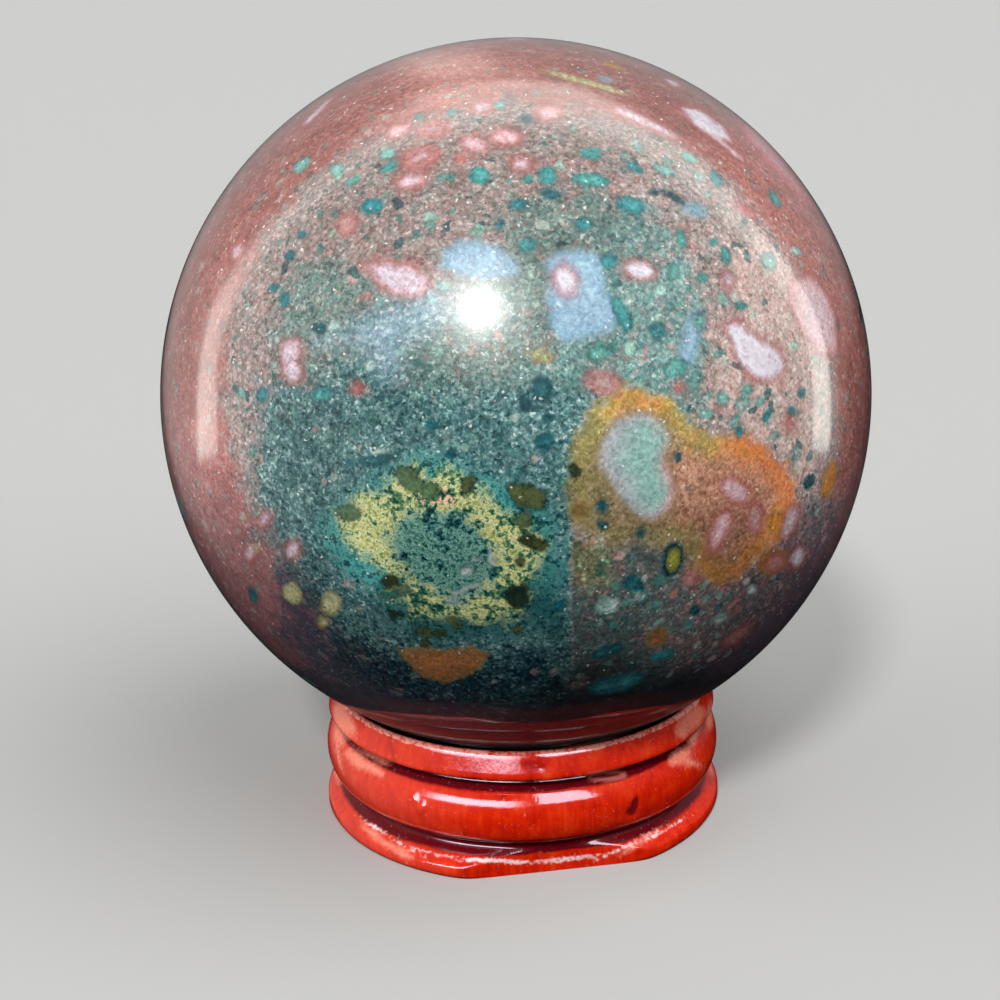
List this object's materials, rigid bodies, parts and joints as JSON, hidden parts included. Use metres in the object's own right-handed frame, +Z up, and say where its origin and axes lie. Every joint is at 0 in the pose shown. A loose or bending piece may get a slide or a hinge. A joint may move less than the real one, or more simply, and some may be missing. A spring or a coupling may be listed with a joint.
{
  "type": "jasper sphere on ring stand",
  "caption": "Polished ocean jasper sphere resting in the dished seat of a turned, red-lacquered wooden ring stand with a band, a half-round bead and a flared foot.",
  "frame": {"origin": "centre of the bounding box's underside: on the surface that the stand rests on, below the sphere's centre", "axes": "+Z up along the stand's turning axis, -Y towards the front, where the foot has its flat, +X to the front view's right"},
  "size_m": [0.065, 0.065, 0.0725],
  "materials": {
    "jasper": "polished; brick-rose and teal-green speckled ground with a yellow-green nest, an orange-rimmed patch and pale, blue and green clasts",
    "red_lacquered_wood": "glossy translucent red lacquer, darker in the grooves and worn pale on the edges"
  },
  "bodies": {
    "root": {"jasper_sphere": "jasper", "ring_stand": "red_lacquered_wood"}
  },
  "joints": []
}
